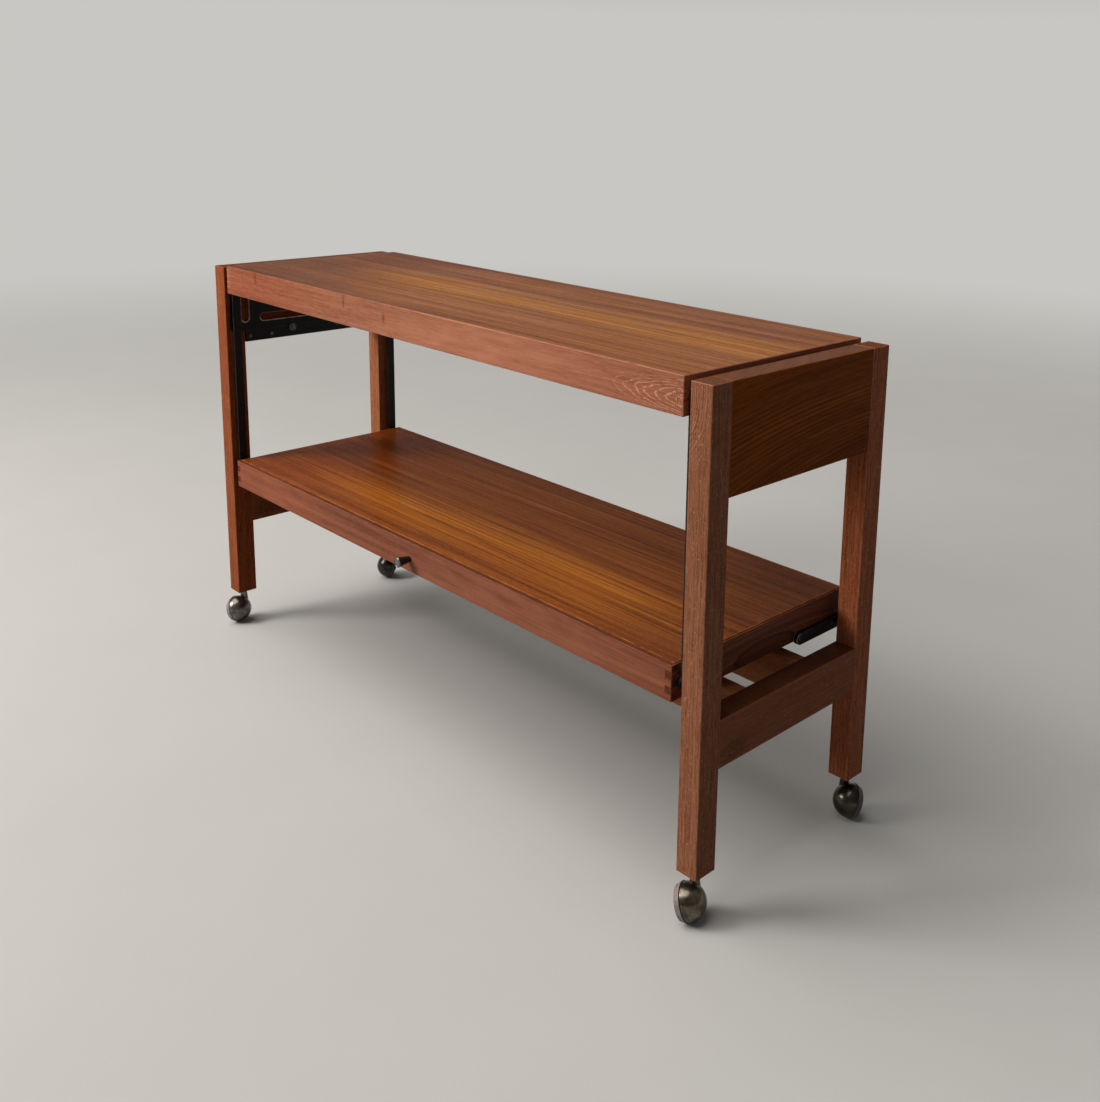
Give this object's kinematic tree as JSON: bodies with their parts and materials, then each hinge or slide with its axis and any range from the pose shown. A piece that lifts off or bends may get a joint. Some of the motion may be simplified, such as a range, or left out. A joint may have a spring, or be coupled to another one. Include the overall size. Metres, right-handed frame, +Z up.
{
  "type": "two-tier convertible tea trolley",
  "caption": "Wooden tea trolley on ball casters whose lower shelf swings up on steel arms beside the top, which slides back to centre the doubled table.",
  "frame": {"origin": "on the floor under the middle of the outline with the knob and the casters as they stand, about 11 mm in front of the middle of the four legs and 11 mm to their right", "axes": "+X along the length to the right as seen from the knob side, +Y from the knob side to the rear, +Z up"},
  "size_m": [1.2822, 0.3943, 0.7194],
  "materials": {
    "frame_teak": "oiled teak, orange-brown with fine straight grain",
    "apron_teak": "oiled teak, darker board with curved grain",
    "rail_teak": "oiled teak, reddish brown with end grain at the fingers",
    "veneer_teak": "satin teak veneer with straight grain along the length",
    "dowel_beech": "plain beech",
    "black_steel": "black satin enamel with worn edges",
    "bright_steel": "plain turned steel",
    "knob_black": "black with a grey polished face",
    "caster_bronze": "bronze lacquer, semi-gloss",
    "tread_grey": "pale grey, worn"
  },
  "bodies": {
    "frame": {"leg_front_left": "frame_teak", "leg_front_right": "frame_teak", "leg_rear_left": "frame_teak", "leg_rear_right": "frame_teak", "apron_left": "apron_teak", "apron_right": "apron_teak", "stretcher_left": "frame_teak", "stretcher_right": "frame_teak", "long_stretcher_front": "frame_teak", "long_stretcher_rear": "frame_teak", "frame_dowels": "dowel_beech", "long_dowels": "dowel_beech", "guide_bar_left": "black_steel", "guide_bar_right": "black_steel", "guide_screws": "bright_steel", "guide_buttons": "bright_steel", "guide_studs": "bright_steel", "caster_sockets": "bright_steel"},
    "top": {"top_panel": "veneer_teak", "top_rail_front": "rail_teak", "top_rail_rear": "rail_teak", "top_rail_left": "rail_teak", "top_rail_right": "rail_teak", "carriage_plate_left": "black_steel", "carriage_plate_right": "black_steel", "plate_spacers": "bright_steel", "plate_screws": "bright_steel", "upper_pivot_pins": "bright_steel"},
    "arm_front_right": {"arm_front_right": "black_steel"},
    "arm_front_left": {"arm_front_left": "black_steel"},
    "arm_rear_right": {"arm_rear_right": "black_steel"},
    "arm_rear_left": {"arm_rear_left": "black_steel"},
    "leaf": {"leaf_panel": "veneer_teak", "leaf_rail_front": "rail_teak", "leaf_rail_rear": "rail_teak", "leaf_rail_left": "rail_teak", "leaf_rail_right": "rail_teak", "leaf_bracket_front_left": "black_steel", "leaf_bracket_front_right": "black_steel", "leaf_bracket_rear_left": "black_steel", "leaf_bracket_rear_right": "black_steel", "bracket_screws": "bright_steel", "lower_pivot_pins": "bright_steel", "pull_knob": "knob_black", "pull_knob_screw": "bright_steel"},
    "caster_swivel_front_left": {"caster_hood_front_left": "caster_bronze"},
    "caster_roller_front_left": {"caster_wheel_front_left": "caster_bronze", "caster_tread_front_left": "tread_grey"},
    "caster_swivel_front_right": {"caster_hood_front_right": "caster_bronze"},
    "caster_roller_front_right": {"caster_wheel_front_right": "caster_bronze", "caster_tread_front_right": "tread_grey"},
    "caster_swivel_rear_left": {"caster_hood_rear_left": "caster_bronze"},
    "caster_roller_rear_left": {"caster_wheel_rear_left": "caster_bronze", "caster_tread_rear_left": "tread_grey"},
    "caster_swivel_rear_right": {"caster_hood_rear_right": "caster_bronze"},
    "caster_roller_rear_right": {"caster_wheel_rear_right": "caster_bronze", "caster_tread_rear_right": "tread_grey"}
  },
  "joints": [
    {"name": "top_slide", "type": "slide", "parent": "frame", "child": "top", "axis": [0, 1, 0], "range_m": [0, 0.1885]},
    {"name": "arm_swing_front_right", "type": "hinge", "parent": "top", "child": "arm_front_right", "pos_m": [0.5746, -0.15615, 0.69365], "axis": [-1, 0, 0], "range_deg": [0, 90]},
    {"name": "arm_swing_front_left", "type": "hinge", "parent": "top", "child": "arm_front_left", "pos_m": [-0.5958, -0.15615, 0.69365], "axis": [-1, 0, 0], "range_deg": [0, 90]},
    {"name": "arm_swing_rear_right", "type": "hinge", "parent": "top", "child": "arm_rear_right", "pos_m": [0.5746, 0.18435, 0.6724], "axis": [-1, 0, 0], "range_deg": [0, 90]},
    {"name": "arm_swing_rear_left", "type": "hinge", "parent": "top", "child": "arm_rear_left", "pos_m": [-0.5958, 0.18435, 0.6724], "axis": [-1, 0, 0], "range_deg": [0, 90]},
    {"name": "leaf_level", "type": "hinge", "parent": "arm_front_right", "child": "leaf", "pos_m": [0.5746, -0.15615, 0.31665], "axis": [-1, 0, 0], "range_deg": [-90, 0]},
    {"name": "caster_swing_front_left", "type": "hinge", "parent": "frame", "child": "caster_swivel_front_left", "pos_m": [-0.6227, -0.15505, 0.062], "axis": [0, 0, 1], "continuous": true},
    {"name": "caster_roll_front_left", "type": "hinge", "parent": "caster_swivel_front_left", "child": "caster_roller_front_left", "pos_m": [-0.62098, -0.17151, 0.02443], "axis": [0.8055, 0.484, 0.342], "continuous": true},
    {"name": "caster_swing_front_right", "type": "hinge", "parent": "frame", "child": "caster_swivel_front_right", "pos_m": [0.6015, -0.15505, 0.062], "axis": [0, 0, 1], "continuous": true},
    {"name": "caster_roll_front_right", "type": "hinge", "parent": "caster_swivel_front_right", "child": "caster_roller_front_right", "pos_m": [0.60207, -0.17159, 0.02443], "axis": [0.8373, 0.4266, 0.342], "continuous": true},
    {"name": "caster_swing_rear_left", "type": "hinge", "parent": "frame", "child": "caster_swivel_rear_left", "pos_m": [-0.6227, 0.17825, 0.062], "axis": [0, 0, 1], "continuous": true},
    {"name": "caster_roll_rear_left", "type": "hinge", "parent": "caster_swivel_rear_left", "child": "caster_roller_rear_left", "pos_m": [-0.60615, 0.17797, 0.02443], "axis": [-0.4119, -0.8446, 0.342], "continuous": true},
    {"name": "caster_swing_rear_right", "type": "hinge", "parent": "frame", "child": "caster_swivel_rear_right", "pos_m": [0.6015, 0.17825, 0.062], "axis": [0, 0, 1], "continuous": true},
    {"name": "caster_roll_rear_right", "type": "hinge", "parent": "caster_swivel_rear_right", "child": "caster_roller_rear_right", "pos_m": [0.61763, 0.17453, 0.02443], "axis": [-0.5785, -0.7405, 0.342], "continuous": true}
  ],
  "couplings": [
    {"joint": "arm_swing_front_left", "follows": "arm_swing_front_right", "ratio": 1},
    {"joint": "arm_swing_rear_right", "follows": "arm_swing_front_right", "ratio": 1},
    {"joint": "arm_swing_rear_left", "follows": "arm_swing_front_right", "ratio": 1},
    {"joint": "leaf_level", "follows": "arm_swing_front_right", "ratio": -1}
  ]
}
